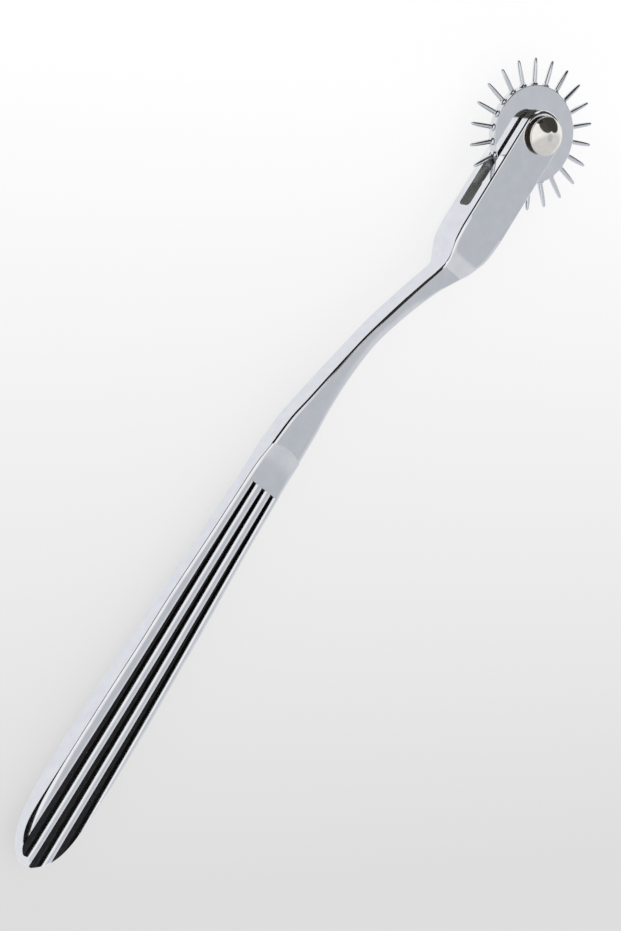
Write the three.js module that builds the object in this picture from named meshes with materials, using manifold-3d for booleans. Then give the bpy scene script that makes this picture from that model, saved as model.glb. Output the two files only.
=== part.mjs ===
import * as THREE from 'three';
import { mergeVertices } from 'three/addons/utils/BufferGeometryUtils.js';
import Module from 'manifold-3d';

// Neurological pinwheel: a spiked wheel that turns in the fork of a fluted metal handle.
// Millimetres. X runs along the handle towards the wheel, Z is the axle's direction.
// Every size below is drawn from the axle's centre; the finished group is then set down on Z = 0.

const wasm = await Module();
wasm.setup();

// Wheel
const discRadius = 9.8;
const discThickness = 2.1;
const discEdgeBreak = 0.15;
const pinCount = 22;
const firstPinDegrees = 51.35;

// Pins, pressed into radial seats in the wheel's rim
const pinProjection = 5.4;
const pinCircleRadius = discRadius + pinProjection;
const pinDiameter = 1;
const pinSeatDepth = 2.2;
const pinTaperLength = 3.4;
const pinPointLength = 0.5;
const pinPointShare = 0.7;
const pinFit = 0.04;
const collarDiameter = 1.7;
const collarHeight = 0.4;
const collarGap = 0.03;
const collarTopShare = 0.78;

// Overall: from the outermost pin points to the butt
const overallLength = 190;
const buttX = -(overallLength - pinCircleRadius);

// Fork
const discSideGap = 0.65;
const tineThickness = 2.1;
const forkWidth = 9.9;
const slotReach = 20.4;
const slotCornerRadius = 0.9;
const forkEdgeRadius = 0.45;
const slotWidth = discThickness + 2 * discSideGap;
const forkThickness = slotWidth + 2 * tineThickness;
const forkFaceZ = forkThickness / 2;

// Stem: the fork's base, then the curved neck, up to the step at the thumb pad
const baseStart = 22;
const baseLength = 11;
const neckLength = 48.5;
const neckWidth = 2.9;
const neckThickness = 5.1;
const gripOffset = 11.1;
const neckStart = baseStart + baseLength;
const stepX = -(neckStart + neckLength);

// Grip
const gripLength = stepX - buttX;
const gripWidth = 12.2;
const gripThickness = 5;
const gripEdgeRadius = 0.4;
const buttEdgeRadius = 1.2;
const stepOverlap = 0.5;

// Grooves along both wide faces of the grip
const grooveStart = 9;
const grooveRampLength = 0.9;
const grooveDepth = 1.05;
const grooveLipWidth = 0.45;
const grooveLipDrop = 0.2;
const grooveTopWidth = 0.75;
const grooveButtWidth = 2.3;
const grooveFloorShare = 0.6;
const grooveTopShares = [0.187, -0.021, -0.223];
const grooveButtShares = [0.25, -0.057, -0.366];

// Axle: a domed post from the front, drawn up by a slotted screw from the back
const postRadius = 1.9;
const postFit = 0.05;
const headRadius = 3.95;
const headRimThickness = 0.36;
const headDomeHeight = 1.35;
const headRimRound = 0.16;
const washerRadius = 3.75;
const washerThickness = 0.85;
const rearWasherThickness = 0.45;
const screwRadius = 1.1;
const screwFit = 0.06;
const screwReach = 3.3;
const screwHeadRadius = 2.9;
const screwHeadHeight = 0.95;
const screwHeadRound = 0.3;
const screwSlotWidth = 0.7;
const screwSlotDepth = 0.5;
const seatGap = 0.03;
const postEndRecess = 0.3;
const screwEndGap = 0.4;

// Wheel bearing
const bushWall = 0.95;
const bushRunningFit = 0.08;
const bushPressFit = 0.04;
const spacerRadius = 3.3;
const spacerRunningGap = 0.1;

// Cut lengths past a face
const overrun = 1;

// Facets
const roundFacets = 40;
const discFacets = 66;
const pinFacets = 8;
const cornerSteps = 3;
const stemSteps = 32;
const gripSteps = 24;
const grooveSteps = 12;
const domeSteps = 6;

// Materials
const chrome = new THREE.MeshStandardMaterial({ color: 0xd5d8de, metalness: 1, roughness: 0.12 });
const satinChrome = new THREE.MeshStandardMaterial({ color: 0xc4c8ce, metalness: 1, roughness: 0.22 });
const nickel = new THREE.MeshStandardMaterial({ color: 0xd8d2c6, metalness: 1, roughness: 0.1 });
const steel = new THREE.MeshStandardMaterial({ color: 0xc9ccd1, metalness: 1, roughness: 0.18 });
const bronze = new THREE.MeshStandardMaterial({ color: 0xb08a4e, metalness: 1, roughness: 0.3 });

// Turn a closed three.js geometry into a solid that can be joined and cut
function toSolid(geometry) {
  const bare = new THREE.BufferGeometry();
  bare.setAttribute('position', geometry.getAttribute('position').clone());
  if (geometry.index) bare.setIndex(geometry.index.clone());
  const merged = mergeVertices(bare);
  const vertProperties = new Float32Array(merged.getAttribute('position').array);
  const triVerts = new Uint32Array(merged.index.array);
  return new wasm.Manifold(new wasm.Mesh({ numProp: 3, vertProperties, triVerts }));
}

function toGeometry(solid) {
  const mesh = solid.getMesh();
  const geometry = new THREE.BufferGeometry();
  geometry.setAttribute('position', new THREE.BufferAttribute(new Float32Array(mesh.vertProperties), 3));
  geometry.setIndex(new THREE.BufferAttribute(new Uint32Array(mesh.triVerts), 1));
  geometry.computeVertexNormals();
  return geometry;
}

// A turned piece about the local Y axis, from [radius, height] points listed upwards
function turned(points, facets = roundFacets) {
  return new THREE.LatheGeometry(points.map(([radius, height]) => new THREE.Vector2(radius, height)), facets);
}

function ring(innerRadius, outerRadius, bottom, top) {
  return turned([
    [innerRadius, bottom], [outerRadius, bottom], [outerRadius, top], [innerRadius, top],
    [innerRadius, bottom],
  ]);
}

function cylinder(radius, bottom, top, facets = roundFacets) {
  return turned([[0, bottom], [radius, bottom], [radius, top], [0, top]], facets);
}

// Join equal-sized rings of [x, y, z] points into one closed tube with flat ends
function loft(rings) {
  const count = rings[0].length;
  const positions = rings.flat(2);
  const indices = [];
  for (let row = 0; row + 1 < rings.length; row += 1) {
    for (let i = 0; i < count; i += 1) {
      const next = (i + 1) % count;
      const a = row * count + i;
      const b = row * count + next;
      indices.push(a, b, a + count, b, b + count, a + count);
    }
  }
  const last = (rings.length - 1) * count;
  for (let i = 1; i + 1 < count; i += 1) {
    indices.push(0, i + 1, i, last, last + i, last + i + 1);
  }
  const geometry = new THREE.BufferGeometry();
  geometry.setAttribute('position', new THREE.Float32BufferAttribute(positions, 3));
  geometry.setIndex(indices);
  return geometry;
}

// A section across the handle at x: a rectangle with rounded corners, listed for a loft that runs towards -X
function section({ x, offset, width, thickness }, edgeRadius) {
  const radius = Math.min(edgeRadius, width / 3, thickness / 3);
  const points = [];
  for (const [sideY, sideZ, startAngle] of [[1, 1, 0], [-1, 1, 1], [-1, -1, 2], [1, -1, 3]]) {
    const cornerY = offset + sideY * (width / 2 - radius);
    const cornerZ = sideZ * (thickness / 2 - radius);
    for (let step = 0; step <= cornerSteps; step += 1) {
      const angle = (startAngle + step / cornerSteps) * Math.PI / 2;
      points.push([x, cornerY + radius * Math.cos(angle), cornerZ + radius * Math.sin(angle)]);
    }
  }
  return points.reverse();
}

// Smooth values between stations, each a list whose first number is its place along -X
function along(stations, place) {
  let k = 1;
  while (k + 2 < stations.length && stations[k + 1][0] <= place) k += 1;
  if (place < stations[1][0]) k = 0;
  const before = stations[Math.max(k - 1, 0)];
  const from = stations[k];
  const to = stations[k + 1];
  const after = stations[Math.min(k + 2, stations.length - 1)];
  const span = to[0] - from[0];
  const t = (place - from[0]) / span;
  return from.slice(1).map((value, i) => {
    const end = to[i + 1];
    const slopeIn = span * (end - before[i + 1]) / (to[0] - before[0]);
    const slopeOut = span * (after[i + 1] - value) / (after[0] - from[0]);
    const rise = (2 * t - 3) * t * t;
    return value * (1 + rise) - end * rise + slopeIn * t * (1 - t) * (1 - t) - slopeOut * t * t * (1 - t);
  });
}

// Fork and neck: shares of the run, the grip's offset, and the width and thickness of the fork or the neck
const baseShares = [
  [0, 0, 1, 1], [0.25, 0.007, 0.98, 1], [0.42, 0.011, 0.94, 1], [0.545, 0.0135, 0.888, 0.987],
  [0.68, 0.015, 0.78, 0.96], [0.82, 0.012, 0.671, 0.882], [0.91, 0.016, 0.606, 0.789],
];
const neckShares = [
  [0, 0.03, 1.862, 1.03], [0.05, 0.127, 1.6, 1], [0.1, 0.23, 1.43, 1], [0.2, 0.402, 1.26, 1.02],
  [0.335, 0.605, 1.12, 1.03], [0.44, 0.73, 1.12, 0.98], [0.555, 0.822, 1.3, 0.97], [0.67, 0.896, 1.6, 1],
  [0.785, 0.945, 2.02, 1], [0.88, 0.972, 2.49, 0.955], [1, 0.995, 2.82, 0.93],
];

function stemStations() {
  return [
    [0, 0, forkWidth, forkThickness],
    ...baseShares.map(([run, offset, width, thickness]) => [
      baseStart + run * baseLength, offset * gripOffset, width * forkWidth, thickness * forkThickness,
    ]),
    ...neckShares.map(([run, offset, width, thickness]) => [
      neckStart + run * neckLength, offset * gripOffset, width * neckWidth, thickness * neckThickness,
    ]),
  ];
}

function stemSolid() {
  const stations = stemStations();
  const rings = [section({ x: 0, offset: 0, width: forkWidth, thickness: forkThickness }, forkEdgeRadius)];
  for (let step = 0; step <= stemSteps; step += 1) {
    const place = baseStart + (baseLength + neckLength) * step / stemSteps;
    const [offset, width, thickness] = along(stations, place);
    rings.push(section({ x: -place, offset, width, thickness }, forkEdgeRadius));
  }
  return toSolid(loft(rings));
}

// The fork's round end, with the same edge rounding as the fork
function forkEndSolid() {
  const radius = forkWidth / 2;
  const points = [[0, -forkFaceZ]];
  for (const side of [-1, 1]) {
    for (let step = 0; step <= cornerSteps; step += 1) {
      const turn = side < 0 ? step : cornerSteps - step;
      const angle = side * (1 - turn / cornerSteps) * Math.PI / 2;
      points.push([
        radius - forkEdgeRadius + forkEdgeRadius * Math.cos(angle),
        side * (forkFaceZ - forkEdgeRadius) + forkEdgeRadius * Math.sin(angle),
      ]);
    }
  }
  points.push([0, forkFaceZ]);
  return toSolid(turned(points).rotateX(Math.PI / 2));
}

// Grip: shares of its length, width and thickness from the step to the pointed butt, and of the edge's growth
const gripShares = [
  [0, 0.655, 0.94, 0], [0.02, 0.67, 0.86, 0], [0.04, 0.69, 0.785, 0], [0.06, 0.705, 0.735, 0],
  [0.085, 0.72, 0.72, 0], [0.12, 0.735, 0.73, 0], [0.24, 0.785, 0.745, 0], [0.39, 0.885, 0.81, 0],
  [0.5, 0.92, 0.9, 0], [0.64, 0.98, 0.97, 0], [0.76, 1, 0.98, 0], [0.86, 1, 1, 0.55], [0.905, 0.96, 1, 0.85],
  [0.94, 0.85, 1, 1], [0.965, 0.68, 1, 1],
  [0.985, 0.45, 0.98, 1], [1, 0.12, 0.94, 1],
];

function gripStations() {
  return gripShares.map(([run, width, thickness, edge]) => [
    run * gripLength, width * gripWidth, thickness * gripThickness,
    THREE.MathUtils.lerp(gripEdgeRadius, buttEdgeRadius, edge),
  ]);
}

function gripSolid(stations) {
  const places = [-stepOverlap];
  for (let step = 0; step <= gripSteps; step += 1) {
    places.push(gripLength * Math.sin(step / gripSteps * Math.PI / 2));
  }
  return toSolid(loft(places.map((place) => {
    const [width, thickness, edgeRadius] = along(stations, Math.max(place, 0));
    return section({ x: stepX - place, offset: gripOffset, width, thickness }, edgeRadius);
  })));
}

// One groove's cutter: it ramps in at the top, widens and fans out towards the butt, and runs out of its end
function grooveSolid(stations, topShare, buttShare, side) {
  const endPlace = gripLength + overrun;
  const places = [grooveStart];
  for (let step = 0; step <= grooveSteps; step += 1) {
    places.push(
      grooveStart + grooveRampLength + (endPlace - grooveStart - grooveRampLength) * step / grooveSteps,
    );
  }
  const rings = places.map((place, k) => {
    const reach = (place - grooveStart) / (endPlace - grooveStart);
    const [, thickness] = along(stations, Math.min(place, gripLength));
    const centre = gripOffset + gripWidth * THREE.MathUtils.lerp(topShare, buttShare, reach);
    const half = THREE.MathUtils.lerp(grooveTopWidth, grooveButtWidth, reach) / 2;
    const depth = k === 0 ? 2 * grooveLipDrop : grooveDepth;
    const faceZ = thickness / 2;
    const lipHalf = half + grooveLipWidth;
    const floorHalf = half * grooveFloorShare;
    const outline = [
      [lipHalf + overrun, faceZ + overrun], [lipHalf, faceZ], [half, faceZ - grooveLipDrop],
      [floorHalf, faceZ - depth], [-floorHalf, faceZ - depth],
      [-half, faceZ - grooveLipDrop], [-lipHalf, faceZ], [-lipHalf - overrun, faceZ + overrun],
    ];
    return outline.map(([y, z]) => [stepX - place, centre + y, side * z]);
  });
  if (side < 0) rings.forEach((points) => points.reverse());
  return toSolid(loft(rings));
}

// The slot that the wheel turns in, cut right across the fork, with rounded inner corners
function slotSolid() {
  const shape = new THREE.Shape();
  const farX = forkWidth / 2 + overrun;
  const half = slotWidth / 2;
  shape.moveTo(farX, -half);
  shape.lineTo(farX, half);
  shape.lineTo(-slotReach + slotCornerRadius, half);
  shape.absarc(
    -slotReach + slotCornerRadius, half - slotCornerRadius, slotCornerRadius, Math.PI / 2, Math.PI,
  );
  shape.absarc(
    -slotReach + slotCornerRadius, slotCornerRadius - half, slotCornerRadius, Math.PI, Math.PI * 1.5,
  );
  shape.closePath();
  const depth = forkWidth + 2 * overrun;
  const geometry = new THREE.ExtrudeGeometry(
    shape, { depth, bevelEnabled: false, curveSegments: cornerSteps },
  );
  geometry.rotateX(Math.PI / 2).translate(0, depth / 2, 0);
  return toSolid(geometry);
}

function handleGeometry() {
  const stations = gripStations();
  let body = stemSolid().add(forkEndSolid()).add(gripSolid(stations));
  grooveTopShares.forEach((topShare, k) => {
    for (const side of [1, -1]) {
      body = body.subtract(grooveSolid(stations, topShare, grooveButtShares[k], side));
    }
  });
  const boreReach = forkFaceZ + overrun;
  const bore = toSolid(cylinder(postRadius + postFit, -boreReach, boreReach).rotateX(Math.PI / 2));
  return toGeometry(body.subtract(slotSolid()).subtract(bore));
}

// Wheel disc with a bore for its bush and a blind seat for each pin
const bushOuterRadius = postRadius + bushRunningFit + bushWall;
const pinSpacing = 2 * Math.PI / pinCount;

function discGeometry() {
  const half = discThickness / 2;
  const boreRadius = bushOuterRadius + bushPressFit;
  let disc = toSolid(turned([
    [boreRadius, -half], [discRadius - discEdgeBreak, -half], [discRadius, discEdgeBreak - half],
    [discRadius, half - discEdgeBreak], [discRadius - discEdgeBreak, half], [boreRadius, half],
    [boreRadius, -half],
  ], discFacets).rotateX(Math.PI / 2));
  for (let k = 0; k < pinCount; k += 1) {
    const seat = cylinder(
      pinDiameter / 2 + pinFit, discRadius - pinSeatDepth, discRadius + overrun, pinFacets,
    );
    disc = disc.subtract(toSolid(seat.rotateZ(-k * pinSpacing)));
  }
  return toGeometry(disc);
}

// A pin about its own Y axis, with Y = 0 at the wheel's centre
function pinGeometry() {
  const radius = pinDiameter / 2;
  const collarBottom = discRadius + collarGap;
  const collarTop = collarBottom + collarHeight;
  return turned([
    [0, discRadius - pinSeatDepth + pinFit], [radius, discRadius - pinSeatDepth + pinFit],
    [radius, collarBottom], [collarDiameter / 2, collarBottom],
    [collarDiameter / 2 * collarTopShare, collarTop], [radius, collarTop],
    [radius, pinCircleRadius - pinTaperLength], [radius * pinPointShare, pinCircleRadius - pinPointLength],
    [0, pinCircleRadius],
  ], pinFacets);
}

// Domed post: head, then barrel, with a blind bore from its end for the screw
function postGeometry() {
  const headBottom = forkFaceZ + washerThickness + 2 * seatGap;
  const rimTop = headBottom + headRimThickness;
  const domeBase = headRadius - headRimRound;
  const domeRadius = (domeBase * domeBase + headDomeHeight * headDomeHeight) / (2 * headDomeHeight);
  const domeAngle = Math.asin(domeBase / domeRadius);
  const barrelEnd = postEndRecess - forkFaceZ;
  const boreTop = screwReach + screwEndGap - forkFaceZ;
  const boreRadius = screwRadius + screwFit;
  const points = [
    [0, boreTop], [boreRadius, boreTop], [boreRadius, barrelEnd], [postRadius, barrelEnd],
    [postRadius, headBottom], [headRadius - headRimRound, headBottom],
    [headRadius, headBottom + headRimRound], [headRadius, rimTop - headRimRound],
  ];
  for (let step = 0; step < domeSteps; step += 1) {
    const angle = domeAngle * (1 - step / domeSteps);
    points.push([
      domeRadius * Math.sin(angle), rimTop + headDomeHeight - domeRadius * (1 - Math.cos(angle)),
    ]);
  }
  points.push([0, rimTop + headDomeHeight]);
  return turned(points);
}

// Slotted screw, its head against the rear washer and its shank up inside the post
function screwGeometry() {
  const headTop = -(forkFaceZ + rearWasherThickness + 2 * seatGap);
  const headBottom = headTop - screwHeadHeight;
  const screw = toSolid(turned([
    [0, headBottom], [screwHeadRadius - screwHeadRound, headBottom],
    [screwHeadRadius, headBottom + screwHeadRound], [screwHeadRadius, headTop], [screwRadius, headTop],
    [screwRadius, screwReach - forkFaceZ], [0, screwReach - forkFaceZ],
  ]));
  const slot = new THREE.BoxGeometry(2 * (screwHeadRadius + overrun), 2 * screwSlotDepth, screwSlotWidth);
  return toGeometry(screw.subtract(toSolid(slot.translate(0, headBottom, 0))));
}

function addPart(group, name, geometry, material) {
  const mesh = new THREE.Mesh(geometry, material);
  mesh.name = name;
  group.add(mesh);
  return mesh;
}

const pinwheel = new THREE.Group();
addPart(pinwheel, 'handle_fork_body', handleGeometry(), chrome);

// Axle pieces are turned about Y and stood up on Z
const axle = new THREE.Group();
axle.rotation.x = Math.PI / 2;
pinwheel.add(axle);
const postBoreRadius = postRadius + postFit;
const frontSeat = forkFaceZ + seatGap;
const spacerFar = slotWidth / 2 - seatGap;
const spacerNear = discThickness / 2 + spacerRunningGap;
addPart(axle, 'axle_post', postGeometry(), nickel);
addPart(
  axle, 'head_washer', ring(postBoreRadius, washerRadius, frontSeat, frontSeat + washerThickness), steel,
);
addPart(axle, 'axle_screw', screwGeometry(), steel);
addPart(axle, 'rear_washer', ring(
  screwRadius + screwFit, washerRadius, -frontSeat - rearWasherThickness, -frontSeat,
), steel);
addPart(axle, 'front_spacer', ring(postBoreRadius, spacerRadius, spacerNear, spacerFar), bronze);
addPart(axle, 'rear_spacer', ring(postBoreRadius, spacerRadius, -spacerFar, -spacerNear), bronze);

// The wheel turns about Z; it rests with its first pin at firstPinDegrees from the handle's direction
const wheel = new THREE.Group();
wheel.rotation.z = THREE.MathUtils.degToRad(firstPinDegrees) - Math.PI / 2;
pinwheel.add(wheel);
addPart(wheel, 'wheel_disc', discGeometry(), satinChrome);
addPart(wheel, 'wheel_bush', ring(
  postRadius + bushRunningFit, bushOuterRadius, -discThickness / 2, discThickness / 2,
).rotateX(Math.PI / 2), bronze);
for (let k = 0; k < pinCount; k += 1) {
  const pin = addPart(wheel, `pin_${String(k + 1).padStart(2, '0')}`, pinGeometry(), steel);
  pin.rotation.z = -k * pinSpacing;
}

// Set the finished part down: its box's centre over the origin, its lowest point at Z = 0
pinwheel.updateMatrixWorld(true);
const box = new THREE.Box3().setFromObject(pinwheel, true);
const centre = box.getCenter(new THREE.Vector3());
pinwheel.position.set(-centre.x, -centre.y, -box.min.z);

export default pinwheel;
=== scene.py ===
"""Neurological pinwheel: a wheel of pins that turns in the fork of a chrome-plated, fluted handle."""
import math

import bmesh
import bpy
from mathutils import Matrix, Vector


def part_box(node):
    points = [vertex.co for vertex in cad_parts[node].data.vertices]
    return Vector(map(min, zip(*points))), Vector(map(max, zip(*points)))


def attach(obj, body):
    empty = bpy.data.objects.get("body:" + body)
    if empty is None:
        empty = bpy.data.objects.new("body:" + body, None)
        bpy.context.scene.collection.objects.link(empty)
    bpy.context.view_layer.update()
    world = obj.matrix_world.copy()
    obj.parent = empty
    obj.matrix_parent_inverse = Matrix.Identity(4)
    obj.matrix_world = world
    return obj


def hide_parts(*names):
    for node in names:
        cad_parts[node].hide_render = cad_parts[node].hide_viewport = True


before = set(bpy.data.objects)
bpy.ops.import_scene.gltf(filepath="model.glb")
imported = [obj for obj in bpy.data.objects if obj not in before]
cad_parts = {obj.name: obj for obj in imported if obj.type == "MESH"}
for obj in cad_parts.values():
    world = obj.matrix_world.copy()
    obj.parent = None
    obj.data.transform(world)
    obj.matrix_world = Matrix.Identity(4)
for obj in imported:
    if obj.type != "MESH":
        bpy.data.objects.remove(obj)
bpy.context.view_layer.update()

MM = 0.001
TURN = 2 * math.pi
QUARTER_TURN = TURN / 4

# The axle's centre in the frame, in metres
bush_low, bush_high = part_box("wheel_bush")
AXLE = (bush_low + bush_high) / 2

# Sizes are in millimetres, measured from the axle's centre, as the real piece would be drawn.

# Wheel
DISC_RADIUS = 9.8
DISC_THICKNESS = 2.1
DISC_EDGE_RADIUS = 0.15
PIN_COUNT = 22
FIRST_PIN_DEGREES = 51.35

# The rim is polished more than the faces and painted darker as shade: fully up to the first distance in
# from its edge, and then fading out up to the second
RIM_POLISH_FULL = 0.05
RIM_POLISH_END = 0.2
# The polished rim keeps this share of the faces' own colour and roughness; the rest of its colour is
# painted shade
RIM_FACE_SHARE = 0.5

# Pins, and the whole length from their points to the butt
PIN_CIRCLE_RADIUS = DISC_RADIUS + 5.4
OVERALL_LENGTH = 190
BUTT_X = -(OVERALL_LENGTH - PIN_CIRCLE_RADIUS)
PIN_RADIUS = 0.5
PIN_SEAT_DEPTH = 2.2
PIN_FIT = 0.04
PIN_TAPER_LENGTH = 3.4
PIN_TIP_LENGTH = 0.5
COLLAR_RADIUS = 0.85
COLLAR_HEIGHT = 0.4
COLLAR_GAP = 0.03

# Shares of the taper's or the tip's length, and of the pin's radius there
PIN_TAPER_SHARES = ((0, 1), (0.25, 0.97), (0.5, 0.9))
PIN_TIP_SHARES = ((0, 0.7), (0.5, 0.55), (0.85, 0.3), (1, 0))
# A collar's rounding, as a share of its height
COLLAR_EDGE_SHARE = 0.25

# Fork
SLOT_WIDTH = 3.4
SLOT_REACH = 20.4
SLOT_CORNER_RADIUS = 0.9
FORK_WIDTH = 9.9
FORK_THICKNESS = 7.6
FORK_FACE_Z = FORK_THICKNESS / 2

# Stem and grip
BASE_START = 22
BASE_LENGTH = 11
NECK_LENGTH = 48.5
NECK_WIDTH = 2.9
NECK_THICKNESS = 5.1
NECK_CROWN = 0.3
GRIP_OFFSET = 11.1
NECK_START = BASE_START + BASE_LENGTH
STEP_X = -(NECK_START + NECK_LENGTH)
PAD_BOW = 1
PAD_BOW_REACH = 6
GRIP_LENGTH = STEP_X - BUTT_X
GRIP_WIDTH = 12.2
GRIP_THICKNESS = 5

# Buffed edges: how far each one reaches along the wide face and down the side, and its fullness,
# which is 1 for a straight bevel and 2 for a round
FORK_EDGE = (0.375, 0.35, 1.15)
NECK_EDGE = (0.45, 0.42, 1.15)
GRIP_EDGE = (0.85, 0.4, 2)
BUTT_EDGE = (0.95, 1.2, 1.1)
# One edge takes at most one part in this many of the handle's width or thickness
EDGE_LIMIT_PARTS = 3

# Flutes of the grip: each cutter's walls and floor follow shares of half its floor and of its depth
FLUTE_START = 9
FLUTE_RAMP_LENGTH = 0.9
FLUTE_DEPTH = 1.05
FLUTE_LIP_WIDTH = 0.8
FLUTE_LIP_DROP = 0.3
FLUTE_TOP_WIDTH = 0.75
FLUTE_BUTT_WIDTH = 2.3
FLUTE_FLOOR_SHARE = 0.6
FLUTE_FLOOR_SHARES = ((1.12, 0.2), (0.9, 0.06), (0.5, 0))
FLUTE_RAMP_SHARES = (0, 0.1, 0.3, 0.6)
BOOLEAN_LIFT = 0.01
# Where the flutes' middles start and end, as shares of the grip's width from its middle
FLUTE_TOP_SHARES = (0.187, -0.021, -0.223)
FLUTE_BUTT_SHARES = (0.25, -0.057, -0.366)

# Axle and bearing
POST_RADIUS = 1.9
POST_FIT = 0.05
HEAD_RADIUS = 3.95
HEAD_RIM_THICKNESS = 0.36
HEAD_DOME_HEIGHT = 1.35
HEAD_RIM_ROUND = 0.16
WASHER_RADIUS = 3.75
WASHER_THICKNESS = 0.85
REAR_WASHER_THICKNESS = 0.45
SCREW_RADIUS = 1.1
SCREW_FIT = 0.06
SCREW_REACH = 3.3
SCREW_HEAD_RADIUS = 2.9
SCREW_HEAD_HEIGHT = 0.95
SCREW_HEAD_ROUND = 0.3
SCREW_SLOT_WIDTH = 0.7
SCREW_SLOT_DEPTH = 0.5
SEAT_GAP = 0.03
POST_END_RECESS = 0.3
SCREW_END_GAP = 0.4
BUSH_WALL = 0.95
BUSH_RUNNING_FIT = 0.08
BUSH_PRESS_FIT = 0.04
SPACER_RADIUS = 3.3
SPACER_RUNNING_GAP = 0.1
SMALL_EDGE_BREAK = 0.08

# How far a cutter runs past what it cuts, and how near two vertices are merged
OVERRUN = 1
MERGE_DISTANCE = 0.0005

# Fineness of the meshes
CORNER_STEPS = 6
EDGE_BREAK_STEPS = 3
SCREW_EDGE_STEPS = 5
SLOT_CORNER_STEPS = 8
FLUTE_LIP_STEPS = 6
FORK_END_STEPS = 64
STEM_STEPS = 120
GRIP_STEPS = 150
DOME_STEPS = 24
LATHE_STEPS = 128
DISC_STEPS = 256
PIN_STEPS = 24

# Shading: the angle from which an edge stays crisp, and how far flat faces outweigh round ones
SMOOTH_DEGREES = 32
PIN_SMOOTH_DEGREES = 50
FLAT_FACE_WEIGHT = 80


# Materials

# A noise seldom leaves this range, which is spread over all that it drives
NOISE_RANGE = {"From Min": 0.3, "From Max": 0.7}


def linear(hex_colour):
    """An sRGB hex colour as linear red, green, blue and alpha."""
    channels = [int(hex_colour[i:i + 2], 16) / 255 for i in (1, 3, 5)]
    return [c / 12.92 if c <= 0.04045 else ((c + 0.055) / 1.055) ** 2.4 for c in channels] + [1]


def add(tree, kind, settings=None, values=None, links=None):
    """Add a shader node: its settings, its sockets' values, and the sockets that feed its inputs."""
    made = tree.nodes.new("ShaderNode" + kind)
    for name, value in (settings or {}).items():
        setattr(made, name, value)
    for socket, value in (values or {}).items():
        made.inputs[socket].default_value = value
    for socket, source in (links or {}).items():
        tree.links.new(source, made.inputs[socket])
    return made


def metal(name, colour, roughness, marks):
    """A bare metal of a plain colour and roughness; marks returns the sockets that feed its shader."""
    material = bpy.data.materials.new(name)
    material.use_nodes = True
    tree = material.node_tree
    tree.nodes.clear()
    place = add(tree, "TexCoord").outputs["Object"]
    values = {"Metallic": 1, "Roughness": roughness, "Base Color": linear(colour)}
    shader = add(tree, "BsdfPrincipled", values=values, links=marks(tree, place))
    add(tree, "OutputMaterial", links={"Surface": shader.outputs["BSDF"]})
    return material


def grain(tree, place, size, detail=3, stretch=(1, 1, 1)):
    """An uneven pattern of a real size in millimetres, drawn out along an axis by stretch."""
    scale = [1 / s for s in stretch]
    stretched = add(tree, "Mapping", values={"Scale": scale}, links={"Vector": place}).outputs["Vector"]
    values = {"Scale": 1 / (size * MM), "Detail": detail}
    return add(tree, "TexNoise", values=values, links={"Vector": stretched}).outputs["Fac"]


def worked(tree, pattern, shades, roughness, relief=0, shading=None):
    """A surface whose pattern sways its colour and roughness and stands up by a relief in millimetres.

    Shading is another pattern, for the colour alone.
    """
    first, second = shades
    share = add(tree, "MapRange", values=NOISE_RANGE, links={"Value": shading or pattern})
    ends = {"A": linear(first), "B": linear(second)}
    colour = add(tree, "Mix", {"data_type": "RGBA"}, ends, {"Factor": share.outputs["Result"]})
    least, most = roughness
    spread = NOISE_RANGE | {"To Min": least, "To Max": most}
    rough = add(tree, "MapRange", values=spread, links={"Value": pattern})
    links = {"Base Color": colour.outputs["Result"], "Roughness": rough.outputs["Result"]}
    if relief:
        raised = add(tree, "Bump", values={"Distance": relief * MM}, links={"Height": pattern})
        links["Normal"] = raised.outputs["Normal"]
    return links


def chrome_marks(tree, place):
    # Buffed plate: soft waves left by the buffing wheel, haze that comes and goes, and fine hairlines
    # along X
    wave_height = 0.012
    hair_height = 0.0015
    waves = grain(tree, place, size=5, detail=2)
    hairs = grain(tree, place, size=0.12, detail=2, stretch=(40, 1, 1))
    haze = grain(tree, place, size=2.2, detail=4)
    wavy = add(tree, "Bump", values={"Distance": wave_height * MM}, links={"Height": waves})
    lined = add(tree, "Bump", values={"Distance": hair_height * MM, "Strength": 0.5}, links={
        "Height": hairs, "Normal": wavy.outputs["Normal"],
    })
    marks = worked(tree, haze, shades=("#f1f2f4", "#e8eaed"), roughness=(0.07, 0.13))
    return marks | {"Normal": lined.outputs["Normal"]}


def flute_marks(tree, place):
    # Flutes are cut before plating and can't be buffed, so their plate is dull; its dark colour is painted
    # shade for these hollows, with a few bright flecks
    fleck_spacing = 1.1
    fleck_core_share = 0.06
    fleck_edge_share = 0.1
    pits = grain(tree, place, size=0.25, detail=4, stretch=(3, 1, 1))
    marks = worked(tree, pits, shades=("#29282a", "#403f41"), roughness=(0.32, 0.5), relief=0.02)
    cells = add(tree, "TexVoronoi", values={"Scale": 1 / (fleck_spacing * MM)}, links={"Vector": place})
    fade = {"From Min": fleck_core_share, "From Max": fleck_edge_share, "To Min": 1, "To Max": 0}
    fleck = add(tree, "MapRange", values=fade, links={"Value": cells.outputs["Distance"]})
    flecked = add(tree, "Mix", {"data_type": "RGBA"}, {"B": linear("#77767a")}, {
        "Factor": fleck.outputs["Result"], "A": marks["Base Color"],
    })
    return marks | {"Base Color": flecked.outputs["Result"]}


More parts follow.
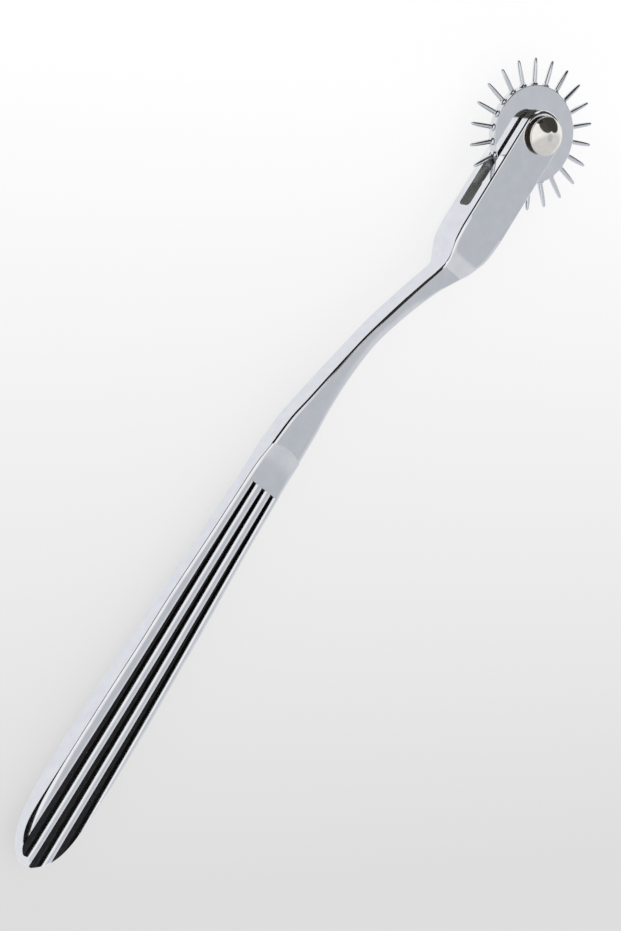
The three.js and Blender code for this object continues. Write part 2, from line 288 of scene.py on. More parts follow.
def disc_marks(tree, place):
    # Faced on a lathe and then buffed: faint rings about the axle, and a smoother rim that mirrors the
    # pins, with painted shade that makes it darker
    centred = add(tree, "Mapping", values={"Location": [-c for c in AXLE]}, links={"Vector": place})
    from_axle = centred.outputs["Vector"]
    flat = add(tree, "VectorMath", {"operation": "MULTIPLY"}, {1: (1, 1, 0)}, {0: from_axle})
    length = add(tree, "VectorMath", {"operation": "LENGTH"}, links={0: flat.outputs["Vector"]})
    radius = length.outputs["Value"]
    rings = grain(tree, add(tree, "CombineXYZ", links={"X": radius}).outputs["Vector"], size=0.22)
    haze = grain(tree, place, size=3)
    marks = worked(
        tree, rings, shades=("#f6f7f9", "#eff1f3"), roughness=(0.06, 0.11), relief=0.002, shading=haze,
    )
    inwards = add(tree, "MapRange", values={
        "From Min": (DISC_RADIUS - RIM_POLISH_END) * MM,
        "From Max": (DISC_RADIUS - RIM_POLISH_FULL) * MM,
        "To Min": 1,
        "To Max": RIM_FACE_SHARE,
    }, links={"Value": radius}).outputs["Result"]
    smoother = add(tree, "Math", {"operation": "MULTIPLY"}, links={0: marks["Roughness"], 1: inwards})
    # Painted shade: the rim's colour is mixed towards a darker grey
    rim_painted_shade = add(tree, "Mix", {"data_type": "RGBA"}, {"A": linear("#c2c4ca")}, {
        "Factor": inwards, "B": marks["Base Color"],
    })
    return marks | {"Base Color": rim_painted_shade.outputs["Result"], "Roughness": smoother.outputs["Value"]}


def nickel_marks(tree, place):
    # Polished nickel is a little warmer than chrome, with a soft orange peel
    peel = grain(tree, place, size=1.3, detail=2)
    return worked(tree, peel, shades=("#f3f0e9", "#eae6df"), roughness=(0.06, 0.11), relief=0.006)


def pin_marks(tree, place):
    # Drawn and ground steel wire: fine unevenness left by grinding the points
    ground = grain(tree, place, size=0.3)
    return worked(tree, ground, shades=("#e6e8eb", "#d6d9dd"), roughness=(0.06, 0.13), relief=0.004)


def steel_marks(tree, place):
    # Turned mild steel, satin from the tool
    tooled = grain(tree, place, size=0.35, detail=4)
    return worked(tree, tooled, shades=("#b9bbbe", "#9fa2a6"), roughness=(0.22, 0.36), relief=0.006)


def slot_marks(tree, place):
    # The slot is milled and the buffing wheel can't reach into it, so its plate stays grey and satin
    lay = grain(tree, place, size=0.4, stretch=(6, 1, 1))
    return worked(tree, lay, shades=("#dededc", "#cacac7"), roughness=(0.3, 0.42), relief=0.004)


def washer_shade_marks(tree, place):
    # Painted shade: the washer is near black to stand in for the shade under the head, with a low satin
    # sheen
    washer_grain = grain(tree, place, size=0.3)
    return worked(tree, washer_grain, shades=("#37332a", "#27231c"), roughness=(0.3, 0.42), relief=0.004)


def bronze_marks(tree, place):
    # Sintered bearing bronze: brown-gold, with fine pores that hold oil
    pores = grain(tree, place, size=0.2, detail=4)
    return worked(tree, pores, shades=("#a9824a", "#7f5f35"), roughness=(0.28, 0.45), relief=0.01)


handle_chrome = metal("buffed_chrome_plate", "#eceef1", roughness=0.1, marks=chrome_marks)
# Painted shade: the flutes' plate is coloured near black for the shade in these hollows
flute_shade_chrome = metal("flute_plate_painted_shade", "#343335", roughness=0.4, marks=flute_marks)
disc_chrome = metal("faced_chrome_disc", "#f0f1f4", roughness=0.14, marks=disc_marks)
head_nickel = metal("polished_nickel", "#efebe4", roughness=0.08, marks=nickel_marks)
pin_steel = metal("ground_pin_steel", "#dfe1e5", roughness=0.1, marks=pin_marks)
turned_steel = metal("turned_steel", "#b0b2b6", roughness=0.28, marks=steel_marks)
slot_plate = metal("satin_plate_in_slot", "#d4d4d2", roughness=0.36, marks=slot_marks)
washer_shade_steel = metal("washer_steel_painted_shade", "#2f2b22", roughness=0.36, marks=washer_shade_marks)
bearing_bronze = metal("bearing_bronze", "#977340", roughness=0.36, marks=bronze_marks)


# Mesh tools

def in_axle_frame(*point):
    """A point in millimetres from the axle's centre, in the scene's metres."""
    return Vector(point) * MM


def edge_chain(bm, points, closed=False):
    """Vertices joined by edges in the order of the points."""
    verts = [bm.verts.new(in_axle_frame(*p)) for p in points]
    pairs = list(zip(verts, verts[1:])) + ([(verts[-1], verts[0])] if closed else [])
    return verts, [bm.edges.new(pair) for pair in pairs]


def ring_edges(bm, ring):
    """The edges that join a closed ring of vertices."""
    return [bm.edges.get((ring[i - 1], ring[i])) for i in range(len(ring))]


def next_ring(bm, ring, points):
    """Extrude a closed ring of vertices once and put the new ones on the points."""
    made = set(bmesh.ops.extrude_edge_only(bm, edges=ring_edges(bm, ring))["geom"])
    new_ring = [next(e.other_vert(v) for e in v.link_edges if e.other_vert(v) in made) for v in ring]
    for vert, point in zip(new_ring, points):
        vert.co = in_axle_frame(*point)
    return new_ring


def close_up(bm):
    """Merge doubled vertices and turn every face outwards."""
    bmesh.ops.remove_doubles(bm, verts=bm.verts[:], dist=MERGE_DISTANCE * MM)
    bmesh.ops.dissolve_degenerate(bm, edges=bm.edges[:], dist=MERGE_DISTANCE * MM)
    bmesh.ops.recalc_face_normals(bm, faces=bm.faces[:])


def as_object(bm, name, *materials):
    """A mesh object at the origin, with the axle-frame mesh carried to its place in the frame."""
    bmesh.ops.translate(bm, verts=bm.verts[:], vec=AXLE)
    mesh = bpy.data.meshes.new(name)
    bm.to_mesh(mesh)
    bm.free()
    made = bpy.data.objects.new(name, mesh)
    bpy.context.scene.collection.objects.link(made)
    for material in materials:
        mesh.materials.append(material)
    return made


def smooth(piece, degrees=SMOOTH_DEGREES):
    """Smooth shading that stays crisp over real edges, with flat faces kept flat."""
    piece.data.polygons.foreach_set("use_smooth", [True] * len(piece.data.polygons))
    piece.data.set_sharp_from_angle(angle=math.radians(degrees))
    weighted = piece.modifiers.new("flat_faces", "WEIGHTED_NORMAL")
    weighted.keep_sharp = True
    weighted.weight = FLAT_FACE_WEIGHT


def cut(piece, cutters):
    """Cut the cutters out of a piece for good, keeping their materials on the cut faces."""
    for cutter in cutters:
        step = piece.modifiers.new("cut", "BOOLEAN")
        step.operation = "DIFFERENCE"
        step.solver = "EXACT"
        step.material_mode = "TRANSFER"
        step.object = cutter
    bpy.context.view_layer.update()
    result = bpy.data.meshes.new_from_object(piece.evaluated_get(bpy.context.evaluated_depsgraph_get()))
    piece.modifiers.clear()
    piece.data = result
    for cutter in cutters:
        bpy.data.objects.remove(cutter)


def turned(points, steps=LATHE_STEPS):
    """A profile of (radius, height) points spun about the axle; a closed one repeats its first."""
    bm = bmesh.new()
    verts, edges = edge_chain(bm, [(radius, 0, height) for radius, height in points])
    bmesh.ops.spin(
        bm, geom=verts + edges, cent=(0, 0, 0), axis=(0, 0, 1), angle=TURN, steps=steps, use_merge=True,
    )
    close_up(bm)
    return bm


def rounded(points, breaks, steps=EDGE_BREAK_STEPS):
    """Round a profile's corners: breaks gives the radius at each point, or zero to leave it sharp."""
    result = []
    for k, (point, radius) in enumerate(zip(points, breaks)):
        if not radius:
            result.append(point)
            continue
        here = Vector(point)
        before = (Vector(points[k - 1]) - here).normalized() * radius
        after = (Vector(points[(k + 1) % len(points)]) - here).normalized() * radius
        for step in range(steps + 1):
            angle = step / steps * QUARTER_TURN
            offset = before * (1 - math.sin(angle)) + after * (1 - math.cos(angle))
            result.append(tuple(here + offset))
    return result


def ring_profile(inner, outer, low, high, edge=SMALL_EDGE_BREAK):
    """The section of a plain ring, with its outer corners eased."""
    corners = [(inner, low), (outer, low), (outer, high), (inner, high)]
    profile = rounded(corners, [0, edge, edge, 0])
    return profile + profile[:1]


# Handle

# Shares of the run, the grip's offset, and the width and thickness of the fork or the neck
BASE_SHARES = (
    (0, 0, 1, 1), (0.25, 0.007, 0.98, 1), (0.42, 0.011, 0.94, 1), (0.545, 0.0135, 0.888, 0.987),
    (0.68, 0.015, 0.78, 0.96), (0.82, 0.012, 0.671, 0.882), (0.91, 0.016, 0.606, 0.789),
)
NECK_SHARES = (
    (0, 0.03, 1.862, 1.03), (0.05, 0.127, 1.6, 1), (0.1, 0.23, 1.43, 1),
    (0.2, 0.402, 1.26, 1.02), (0.335, 0.605, 1.12, 1.03), (0.44, 0.73, 1.12, 0.98),
    (0.555, 0.822, 1.3, 0.97), (0.67, 0.896, 1.6, 1), (0.785, 0.945, 2.02, 1),
    (0.88, 0.972, 2.49, 0.955), (1, 0.995, 2.82, 0.93),
)
# Shares of the grip's length, width and thickness, and of the change from the grip's edge to the butt's
GRIP_SHARES = (
    (0, 0.655, 0.94, 0), (0.02, 0.67, 0.86, 0), (0.04, 0.69, 0.785, 0), (0.06, 0.705, 0.735, 0),
    (0.085, 0.72, 0.72, 0), (0.12, 0.735, 0.73, 0), (0.24, 0.785, 0.745, 0), (0.39, 0.885, 0.81, 0),
    (0.5, 0.92, 0.9, 0), (0.64, 0.98, 0.97, 0), (0.76, 1, 0.98, 0), (0.86, 1, 1, 0.55),
    (0.905, 0.96, 1, 0.85), (0.94, 0.85, 1, 1), (0.965, 0.68, 1, 1), (0.985, 0.45, 0.98, 1),
    (1, 0.12, 0.94, 1),
)
# Shares of a wide face's half-width, at points that carry the crown and the bow
FACE_SHARES = (0, 0.25, 0.55, 0.85)


def stations_from(shares, start, length, width, thickness):
    """Place, offset, width and thickness at stations given as shares of them."""
    return [
        (start + run * length, offset * GRIP_OFFSET, wide * width, thick * thickness)
        for run, offset, wide, thick in shares
    ]


def stem_stations():
    base = stations_from(BASE_SHARES, BASE_START, BASE_LENGTH, FORK_WIDTH, FORK_THICKNESS)
    neck = stations_from(NECK_SHARES, NECK_START, NECK_LENGTH, NECK_WIDTH, NECK_THICKNESS)
    return [(0, 0, FORK_WIDTH, FORK_THICKNESS)] + base + neck


def grip_stations():
    """Place, width, thickness and change of edge at each station of the grip."""
    return [
        (run * GRIP_LENGTH, width * GRIP_WIDTH, thickness * GRIP_THICKNESS, change)
        for run, width, thickness, change in GRIP_SHARES
    ]


def along(stations, place):
    """Smooth values between stations, each a row whose first number is its place along the handle."""
    k = 1
    while k + 2 < len(stations) and stations[k + 1][0] <= place:
        k += 1
    if place < stations[1][0]:
        k = 0
    before, start = stations[max(k - 1, 0)], stations[k]
    end, after = stations[k + 1], stations[min(k + 2, len(stations) - 1)]
    span = end[0] - start[0]
    t = (place - start[0]) / span
    rise = (2 * t - 3) * t * t
    values = []
    for i in range(1, len(start)):
        slope_in = span * (end[i] - before[i]) / (end[0] - before[0])
        slope_out = span * (after[i] - start[i]) / (after[0] - start[0])
        values.append(
            start[i] * (1 + rise) - end[i] * rise
            + slope_in * t * (1 - t) ** 2 - slope_out * t * t * (1 - t)
        )
    return values


def half_outline(fullness):
    """One side of a section, from the front face's middle to the back's, in shares of flats and corners."""
    points = [(share, 0, 1, 1) for share in FACE_SHARES]
    for step in range(CORNER_STEPS + 1):
        angle = step / CORNER_STEPS * QUARTER_TURN
        out = math.sin(angle) ** (2 / fullness)
        up = max(math.cos(angle), 0) ** (2 / fullness)
        points.append((1, out, 1, up))
    back = [(flat_y, corner_y, -flat_z, -corner_z) for flat_y, corner_y, flat_z, corner_z in points]
    return points + back[::-1]


def between(first, second, share):
    return tuple(a + (b - a) * share for a, b in zip(first, second))


def section_points(x, offset, width, thickness, edge, crown=0, bow=0):
    """A section across the handle: its +Y side from front to back, then its -Y side from back to front.

    The crown lowers the wide faces towards their -Y edge, and the bow sets their edges back.
    """
    reach, drop, fullness = edge
    shoulder = min(reach, width / EDGE_LIMIT_PARTS)
    corner = min(drop, thickness / EDGE_LIMIT_PARTS)
    half = half_outline(fullness)
    points = []
    for side, outline in ((1, half), (-1, half[-2:0:-1])):
        for flat_y, corner_y, flat_z, corner_z in outline:
            y = side * (flat_y * (width / 2 - shoulder) + corner_y * shoulder)
            z = flat_z * (thickness / 2 - corner) + corner_z * corner
            z -= flat_z * crown * (0.5 - y / width) ** 2
            points.append((x - bow * (2 * y / width) ** 2, offset + y, z))
    return points


def smooth_step(value, low, high):
    t = min(max((value - low) / (high - low), 0), 1)
    return t * t * (3 - 2 * t)


def pad_bow(distance):
    """The crease at the thumb pad bows towards the wheel; the bow fades out at a distance from it."""
    return PAD_BOW * (1 - smooth_step(distance, 0, PAD_BOW_REACH))


def grip_places():
    """Places along the grip, closer together towards the butt; the flutes' cutters share them."""
    return [GRIP_LENGTH * math.sin(step / GRIP_STEPS * QUARTER_TURN) for step in range(GRIP_STEPS + 1)]


def handle_blank():
    """The handle before its slot, bore and flutes are cut: the round end is spun, the rest extruded."""
    bm = bmesh.new()
    full = section_points(0, 0, FORK_WIDTH, FORK_THICKNESS, FORK_EDGE)
    front_to_back = full[:len(full) // 2 + 1]
    verts, edges = edge_chain(bm, front_to_back)
    bmesh.ops.spin(
        bm, geom=verts + edges, cent=(0, 0, 0), axis=(0, 0, -1), angle=TURN / 2, steps=FORK_END_STEPS,
    )
    bmesh.ops.remove_doubles(bm, verts=bm.verts[:], dist=MERGE_DISTANCE * MM)
    ring = [min(bm.verts, key=lambda v: (v.co - in_axle_frame(*point)).length) for point in full]
    stations = stem_stations()
    for step in range(STEM_STEPS + 1):
        place = BASE_START + (BASE_LENGTH + NECK_LENGTH) * step / STEM_STEPS
        offset, width, thickness = along(stations, place)
        into_neck = smooth_step(place, NECK_START, NECK_START + BASE_LENGTH)
        edge = between(FORK_EDGE, NECK_EDGE, into_neck)
        bow = pad_bow(NECK_START + NECK_LENGTH - place)
        points = section_points(-place, offset, width, thickness, edge, NECK_CROWN * into_neck, bow)
        ring = next_ring(bm, ring, points)
    grip = grip_stations()
    for place in grip_places():
        width, thickness, change = along(grip, place)
        edge = between(GRIP_EDGE, BUTT_EDGE, min(max(change, 0), 1))
        points = section_points(
            STEP_X - place, GRIP_OFFSET, width, thickness, edge, bow=pad_bow(place),
        )
        ring = next_ring(bm, ring, points)
    bmesh.ops.contextual_create(bm, geom=ring_edges(bm, ring))
    close_up(bm)
    return bm


def flute_outline(half, face_z, depth):
    """A flute's cutter across its run, from +Y to -Y, with a buffed lip along each edge."""
    right = [(half + FLUTE_LIP_WIDTH + OVERRUN, face_z + OVERRUN)]
    for step in range(FLUTE_LIP_STEPS + 1):
        angle = step / FLUTE_LIP_STEPS * QUARTER_TURN
        lip_y = half + FLUTE_LIP_WIDTH * (1 - math.sin(angle))
        right.append((lip_y, face_z + BOOLEAN_LIFT - FLUTE_LIP_DROP * (1 - math.cos(angle))))
    floor_half = half * FLUTE_FLOOR_SHARE
    for out_share, up_share in FLUTE_FLOOR_SHARES:
        right.append((floor_half * out_share, face_z - depth * (1 - up_share)))
    return right + [(-y, z) for y, z in reversed(right)]


def flute_cutter(top_share, butt_share, side):
    """The cutter of one flute on one wide face: it ramps down from its start and runs out past the butt."""
    stations = grip_stations()
    end_place = GRIP_LENGTH + OVERRUN
    ramp_end = FLUTE_START + FLUTE_RAMP_LENGTH
    places = [FLUTE_START + FLUTE_RAMP_LENGTH * share for share in FLUTE_RAMP_SHARES]
    places += [place for place in grip_places()[:-1] if ramp_end <= place] + [end_place]
    start_depth = 2 * FLUTE_LIP_DROP
    bm = bmesh.new()
    ring = None
    for place in places:
        reach = (place - FLUTE_START) / (end_place - FLUTE_START)
        thickness = along(stations, min(place, GRIP_LENGTH))[1]
        centre = GRIP_OFFSET + GRIP_WIDTH * (top_share + (butt_share - top_share) * reach)
        half = (FLUTE_TOP_WIDTH + (FLUTE_BUTT_WIDTH - FLUTE_TOP_WIDTH) * reach) / 2
        ramp = min((place - FLUTE_START) / FLUTE_RAMP_LENGTH, 1)
        depth = start_depth + (FLUTE_DEPTH - start_depth) * math.sin(ramp * QUARTER_TURN)
        outline = flute_outline(half, thickness / 2, depth)
        points = [(STEP_X - place, centre + y, side * z) for y, z in outline]
        if ring is None:
            ring, edges = edge_chain(bm, points, closed=True)
            bmesh.ops.contextual_create(bm, geom=edges)
        else:
            ring = next_ring(bm, ring, points)
    bmesh.ops.contextual_create(bm, geom=ring_edges(bm, ring))
    close_up(bm)
    # The walls and the floor take the flutes' dark painted shade, and the lips keep the buffed chrome
    for face in bm.faces:
        face.material_index = 0 if is_lip(face, stations) else 1
    return as_object(bm, "flute_cutter", handle_chrome, flute_shade_chrome)


def is_lip(face, stations):
    """The buffed lips stay within their own drop of the grip's face; the walls and the floor go deeper."""
    deepest = min((vert.co / MM for vert in face.verts), key=lambda place: abs(place.z))
    thickness = along(stations, min(STEP_X - deepest.x, GRIP_LENGTH))[1]
    return thickness / 2 - abs(deepest.z) < FLUTE_LIP_DROP


def slot_cutter():
    far_x = FORK_WIDTH / 2 + OVERRUN
    half = SLOT_WIDTH / 2
    outline = [(far_x, -half), (far_x, half), (-SLOT_REACH, half), (-SLOT_REACH, -half)]
    outline = rounded(outline, [0, 0, SLOT_CORNER_RADIUS, SLOT_CORNER_RADIUS], SLOT_CORNER_STEPS)
    depth = FORK_WIDTH / 2 + OVERRUN
    bm = bmesh.new()
    verts, edges = edge_chain(bm, [(x, -depth, z) for x, z in outline], closed=True)
    face = bmesh.ops.contextual_create(bm, geom=edges)["faces"]
    made = bmesh.ops.extrude_face_region(bm, geom=face)["geom"]
    moved = [v for v in made if isinstance(v, bmesh.types.BMVert)]
    bmesh.ops.translate(bm, verts=moved, vec=in_axle_frame(0, 2 * depth, 0))
    close_up(bm)
    return as_object(bm, "slot_cutter", slot_plate)


def bore_cutter():
    """The bore's facets stand half a step off those of the fork's end, so that no edges fall together."""
    radius = POST_RADIUS + POST_FIT
    reach = FORK_FACE_Z + OVERRUN
    bm = turned([(0, -reach), (radius, -reach), (radius, reach), (0, reach)])
    half_step = Matrix.Rotation(TURN / LATHE_STEPS / 2, 3, "Z")
    bmesh.ops.rotate(bm, verts=bm.verts[:], cent=(0, 0, 0), matrix=half_step)
    return as_object(bm, "bore_cutter", handle_chrome)


handle = as_object(handle_blank(), "handle", handle_chrome)
cutters = [slot_cutter(), bore_cutter()]
for top_share, butt_share in zip(FLUTE_TOP_SHARES, FLUTE_BUTT_SHARES):
    cutters += [flute_cutter(top_share, butt_share, side) for side in (1, -1)]
cut(handle, cutters)
smooth(handle)


# Wheel

BUSH_OUTER_RADIUS = POST_RADIUS + BUSH_RUNNING_FIT + BUSH_WALL


def wheel_disc():
    half = DISC_THICKNESS / 2
    bore_radius = BUSH_OUTER_RADIUS + BUSH_PRESS_FIT
    profile = ring_profile(bore_radius, DISC_RADIUS, -half, half, DISC_EDGE_RADIUS)
    return as_object(turned(profile, DISC_STEPS), "wheel_disc_turned", disc_chrome)


def spoke_turn(k):
    """The turn from +X to pin k: the first one stands at its own angle from the handle's direction."""
    return Matrix.Rotation(math.radians(FIRST_PIN_DEGREES) - k * TURN / PIN_COUNT, 3, "Z")


def pin_profile():
    """Distance from the wheel's centre and radius, from the seat to the point."""
    seat = DISC_RADIUS - PIN_SEAT_DEPTH + PIN_FIT
    collar_low = DISC_RADIUS + COLLAR_GAP
    collar_high = collar_low + COLLAR_HEIGHT
    edge = COLLAR_HEIGHT * COLLAR_EDGE_SHARE
    shank = [(seat, 0), (seat, PIN_RADIUS), (collar_low, PIN_RADIUS)]
    collar = [
        (collar_low, COLLAR_RADIUS - edge), (collar_low + edge, COLLAR_RADIUS),
        (collar_high - edge, COLLAR_RADIUS - edge), (collar_high, COLLAR_RADIUS - 2 * edge),
        (collar_high + edge, PIN_RADIUS),
    ]
    point = [
        (PIN_CIRCLE_RADIUS - length + run * length, PIN_RADIUS * radius_share)
        for length, shares in ((PIN_TAPER_LENGTH, PIN_TAPER_SHARES), (PIN_TIP_LENGTH, PIN_TIP_SHARES))
        for run, radius_share in shares
    ]
    return shank + collar + point


def spoke(profile, k):
    """A round piece spun about a radius of the wheel, turned to the place of pin k."""
    bm = bmesh.new()
    verts, edges = edge_chain(bm, [(place, radius, 0) for place, radius in profile])
    bmesh.ops.spin(
        bm, geom=verts + edges, cent=(0, 0, 0), axis=(1, 0, 0), angle=TURN, steps=PIN_STEPS,
        use_merge=True,
    )
    close_up(bm)
    bmesh.ops.rotate(bm, verts=bm.verts[:], cent=(0, 0, 0), matrix=spoke_turn(k))
    return bm


disc = wheel_disc()
seat_radius = PIN_RADIUS + PIN_FIT
seat_bottom = DISC_RADIUS - PIN_SEAT_DEPTH
seat_top = DISC_RADIUS + OVERRUN
seat_profile = [(seat_bottom, 0), (seat_bottom, seat_radius), (seat_top, seat_radius), (seat_top, 0)]
cut(disc, [as_object(spoke(seat_profile, k), "seat_cutter", disc_chrome) for k in range(PIN_COUNT)])
smooth(disc)

pins = []
for k in range(PIN_COUNT):
    pin = as_object(spoke(pin_profile(), k), f"pin_{k + 1:02d}_ground", pin_steel)
    smooth(pin, PIN_SMOOTH_DEGREES)
    pins.append(pin)

bush_half = DISC_THICKNESS / 2
bush_profile = ring_profile(POST_RADIUS + BUSH_RUNNING_FIT, BUSH_OUTER_RADIUS, -bush_half, bush_half)
bush = as_object(turned(bush_profile), "wheel_bush_turned", bearing_bronze)
smooth(bush)


# Axle

def post_profile():
    """The domed post's section, from the top of its screw's bore out to the head and over the dome."""
    head_low = FORK_FACE_Z + WASHER_THICKNESS + 2 * SEAT_GAP
    rim_top = head_low + HEAD_RIM_THICKNESS
    dome_base = HEAD_RADIUS - HEAD_RIM_ROUND
    dome_radius = (dome_base ** 2 + HEAD_DOME_HEIGHT ** 2) / (2 * HEAD_DOME_HEIGHT)
    dome_angle = math.asin(dome_base / dome_radius)
    barrel_end = POST_END_RECESS - FORK_FACE_Z
    bore_top = SCREW_REACH + SCREW_END_GAP - FORK_FACE_Z
    bore_radius = SCREW_RADIUS + SCREW_FIT
    body = [
        (0, bore_top), (bore_radius, bore_top), (bore_radius, barrel_end), (POST_RADIUS, barrel_end),
        (POST_RADIUS, head_low), (HEAD_RADIUS, head_low), (HEAD_RADIUS, rim_top), (dome_base, rim_top),
    ]
    edge = HEAD_RIM_ROUND / 2
    points = rounded(body, [0, 0, 0, SMALL_EDGE_BREAK, 0, edge, edge, 0])
    for step in range(1, DOME_STEPS):
        angle = dome_angle * (1 - step / DOME_STEPS)
        height = rim_top + HEAD_DOME_HEIGHT - dome_radius * (1 - math.cos(angle))
        points.append((dome_radius * math.sin(angle), height))
    return points + [(0, rim_top + HEAD_DOME_HEIGHT)]


def axle_screw():
    head_top = -(FORK_FACE_Z + REAR_WASHER_THICKNESS + 2 * SEAT_GAP)
    head_low = head_top - SCREW_HEAD_HEIGHT
    shank_end = SCREW_REACH - FORK_FACE_Z
    body = [
        (0, head_low), (SCREW_HEAD_RADIUS, head_low), (SCREW_HEAD_RADIUS, head_top),
        (SCREW_RADIUS, head_top), (SCREW_RADIUS, shank_end), (0, shank_end),
    ]
    breaks = [0, SCREW_HEAD_ROUND, SMALL_EDGE_BREAK, 0, SMALL_EDGE_BREAK, 0]
    profile = rounded(body, breaks, SCREW_EDGE_STEPS)
    screw = as_object(turned(profile), "axle_screw_turned", turned_steel)
    bm = bmesh.new()
    bmesh.ops.create_cube(bm, size=MM)
    length = 2 * (SCREW_HEAD_RADIUS + OVERRUN)
    bmesh.ops.scale(bm, verts=bm.verts[:], vec=(length, SCREW_SLOT_WIDTH, 2 * SCREW_SLOT_DEPTH))
    bmesh.ops.translate(bm, verts=bm.verts[:], vec=in_axle_frame(0, 0, head_low))
    cut(screw, [as_object(bm, "slot_cutter", turned_steel)])
    return screw


def axle_ring(name, inner, outer, low, high, material):
    made = as_object(turned(ring_profile(inner, outer, low, high)), name, material)
    smooth(made)
    return made


post = as_object(turned(post_profile()), "axle_post_turned", head_nickel)
smooth(post)
screw = axle_screw()
smooth(screw)

POST_BORE_RADIUS = POST_RADIUS + POST_FIT
FRONT_SEAT = FORK_FACE_Z + SEAT_GAP
SPACER_FAR = SLOT_WIDTH / 2 - SEAT_GAP
SPACER_NEAR = DISC_THICKNESS / 2 + SPACER_RUNNING_GAP
# The head's washer carries painted shade: near black, where the head shades it
head_washer = axle_ring(
    "head_washer_turned", POST_BORE_RADIUS, WASHER_RADIUS, FRONT_SEAT, FRONT_SEAT + WASHER_THICKNESS,
    washer_shade_steel,
)
rear_washer = axle_ring(
    "rear_washer_turned", SCREW_RADIUS + SCREW_FIT, WASHER_RADIUS, -FRONT_SEAT - REAR_WASHER_THICKNESS,
    -FRONT_SEAT, turned_steel,
)
front_spacer = axle_ring(
    "front_spacer_turned", POST_BORE_RADIUS, SPACER_RADIUS, SPACER_NEAR, SPACER_FAR, bearing_bronze,
)
rear_spacer = axle_ring(
    "rear_spacer_turned", POST_BORE_RADIUS, SPACER_RADIUS, -SPACER_FAR, -SPACER_NEAR, bearing_bronze,
)


# What each piece rides on and stands for

dressed = [
    (handle, "handle", "handle_fork_body", "handle_chrome"),
    (post, "handle", "axle_post", "head_nickel"),
    (screw, "handle", "axle_screw", "small_steel"),
    (head_washer, "handle", "head_washer", "small_steel"),
    (rear_washer, "handle", "rear_washer", "small_steel"),
    (front_spacer, "handle", "front_spacer", "bearing_bronze"),
    (rear_spacer, "handle", "rear_spacer", "bearing_bronze"),
    (disc, "wheel", "wheel_disc", "wheel_chrome"),
    (bush, "wheel", "wheel_bush", "bearing_bronze"),
]
dressed += [(pin, "wheel", f"pin_{k + 1:02d}", "pin_steel") for k, pin in enumerate(pins)]
for piece, body, node, slot in dressed:
    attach(piece, body)
    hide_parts(node)


# Floor and light

FLOOR_SIZE = 6000
# The floor lies this far under the screw's head, so that the two don't fall together
FLOOR_GAP = 0.02

# The camera's upward direction laid on the floor. Along it the paper turns from grey to white as painted
# shade for the light's fall-off, and so does what the metal mirrors of it, between these places in
# millimetres from the frame's origin.
UP_IMAGE = Vector((0.847, 0.531, 0))
PAPER_FADE = (-85, 75)
MIRRORED_FADE = (55, 70)
# The share of the paper's look that comes from itself and not from the light on it
PAPER_GLOW_SHARE = 0.75


def floor_material():
    """Pale studio paper with painted shade, lighter away from the camera; it shows plainly and keeps a soft
    shadow.
    """
    material = bpy.data.materials.new("studio_paper")
    material.use_nodes = True
    tree = material.node_tree
    tree.nodes.clear()
    place = add(tree, "TexCoord").outputs["Object"]
    away = add(tree, "VectorMath", {"operation": "DOT_PRODUCT"}, {1: UP_IMAGE}, {0: place}).outputs["Value"]
    painted_shade_fades = []
    # Both fades are painted shade, darker towards the camera
    for (start, end), grey in ((PAPER_FADE, "#dfdede"), (MIRRORED_FADE, "#ebecf1")):
        values = {"From Min": start * MM, "From Max": end * MM}
        share = add(tree, "MapRange", values=values, links={"Value": away}).outputs["Result"]
        shades = {"A": linear(grey), "B": linear("#ffffff")}
        fade = add(tree, "Mix", {"data_type": "RGBA"}, shades, {"Factor": share})
        painted_shade_fades.append(fade.outputs["Result"])
    paper, mirrored_paper = painted_shade_fades
    lit = add(tree, "BsdfDiffuse", links={"Color": paper})
    plain = add(tree, "Emission", values={"Strength": 1}, links={"Color": paper})
    shown = add(tree, "MixShader", values={"Fac": PAPER_GLOW_SHARE}, links={
        1: lit.outputs["BSDF"], 2: plain.outputs["Emission"],
    })
    mirrored = add(tree, "Emission", values={"Strength": 1}, links={"Color": mirrored_paper})
    path = add(tree, "LightPath")
    surface = add(tree, "MixShader", links={
        "Fac": path.outputs["Is Glossy Ray"],
        1: shown.outputs["Shader"],
        2: mirrored.outputs["Emission"],
    })
    add(tree, "OutputMaterial", links={"Surface": surface.outputs["Shader"]})
    return material


floor_mesh = bmesh.new()
bmesh.ops.create_grid(floor_mesh, x_segments=1, y_segments=1, size=FLOOR_SIZE * MM / 2)
bmesh.ops.translate(floor_mesh, verts=floor_mesh.verts[:], vec=(0, 0, -FLOOR_GAP * MM))
floor_data = bpy.data.meshes.new("floor")
floor_mesh.to_mesh(floor_data)
floor_mesh.free()
floor = bpy.data.objects.new("floor", floor_data)
floor_data.materials.append(floor_material())
bpy.context.scene.collection.objects.link(floor)

# What the metal mirrors: a bright tent with panels. Each panel has a direction, an inner and an outer
# half-angle in degrees between which it fades out, and a shade.
TENT_PANELS = (
    ((-0.45, -0.80, 0.40), 52, 72, "#d8d9dc"),
    ((0.22, -0.53, 0.82), 8.5, 15, "#c1c4c9"),
    ((0.66, 0.06, 0.75), 25.5, 27.5, "#484743"),
    ((0.87, -0.27, 0.41), 26.5, 29.5, "#3f3e3b"),
    ((0.23, 0.94, -0.25), 52, 57, "#0c0c0d"),
    ((0.68, 0.50, 0.53), 13, 17, "#2e2d2a"),
    ((-0.68, 0.72, 0.12), 17, 23, "#0c0c0d"),
)


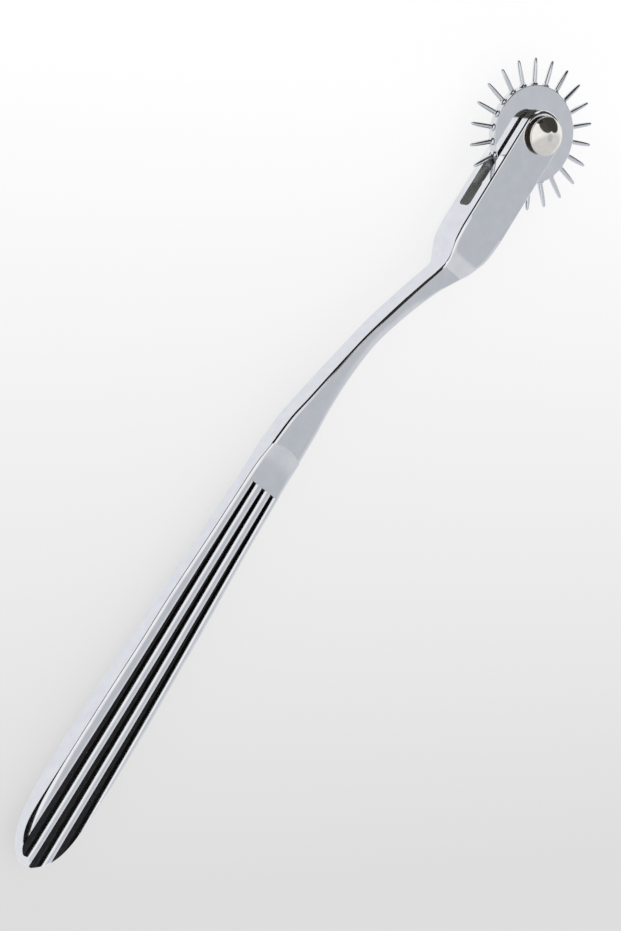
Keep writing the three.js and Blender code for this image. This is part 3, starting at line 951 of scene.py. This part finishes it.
def studio_world():
    """An even white dome for light and for the camera; metal mirrors the tent and its panels."""
    world = bpy.data.worlds.new("studio")
    world.use_nodes = True
    tree = world.node_tree
    tree.nodes.clear()
    direction = add(tree, "TexCoord").outputs["Generated"]
    colour = add(tree, "RGB").outputs["Color"]
    colour.default_value = linear("#fdfdff")
    for centre, inner, outer, shade in TENT_PANELS:
        towards = Vector(centre).normalized()
        near = add(tree, "VectorMath", {"operation": "DOT_PRODUCT"}, {1: towards}, {0: direction})
        fade = {
            "From Min": math.cos(math.radians(outer)),
            "From Max": math.cos(math.radians(inner)),
        }
        share = add(tree, "MapRange", {"interpolation_type": "SMOOTHSTEP"}, fade, {
            "Value": near.outputs["Value"],
        })
        mix = add(tree, "Mix", {"data_type": "RGBA"}, {"B": linear(shade)}, {
            "Factor": share.outputs["Result"], "A": colour,
        })
        colour = mix.outputs["Result"]
    tent = add(tree, "Background", links={"Color": colour})
    dome = add(tree, "Background", values={"Color": linear("#ffffff"), "Strength": 1})
    path = add(tree, "LightPath")
    surface = add(tree, "MixShader", links={
        "Fac": path.outputs["Is Glossy Ray"],
        1: dome.outputs["Background"],
        2: tent.outputs["Background"],
    })
    add(tree, "OutputWorld", links={"Surface": surface.outputs["Shader"]})
    return world


bpy.context.scene.world = studio_world()


# Camera

# The photograph's camera, fitted to the pin tips, the head's circle and the outlines: its place in
# millimetres from the axle's centre, the directions of the picture's rows and columns, its focal length
# and the picture's height in pixels, the sensor's width, and the nearest place that it sees
CAMERA_PLACE = (-207.56, 374.41, 551.77)
CAMERA_RIGHT = Vector((0.51491, -0.65189, 0.55669))
CAMERA_DOWN = Vector((-0.8365, -0.52409, 0.16001))
FOCAL_PIXELS = 3500
IMAGE_HEIGHT = 931
SENSOR_WIDTH = 36
CLIP_START = 10

camera_data = bpy.data.cameras.new("camera")
camera_data.sensor_width = SENSOR_WIDTH
camera_data.lens = FOCAL_PIXELS / IMAGE_HEIGHT * SENSOR_WIDTH
camera_data.clip_start = CLIP_START * MM
camera = bpy.data.objects.new("camera", camera_data)
back = CAMERA_RIGHT.cross(-CAMERA_DOWN)
turn = Matrix((CAMERA_RIGHT, -CAMERA_DOWN, back)).transposed().to_4x4()
camera.matrix_world = Matrix.Translation(AXLE + in_axle_frame(*CAMERA_PLACE)) @ turn
bpy.context.scene.collection.objects.link(camera)
bpy.context.scene.camera = camera
bpy.context.scene.view_settings.view_transform = "Standard"
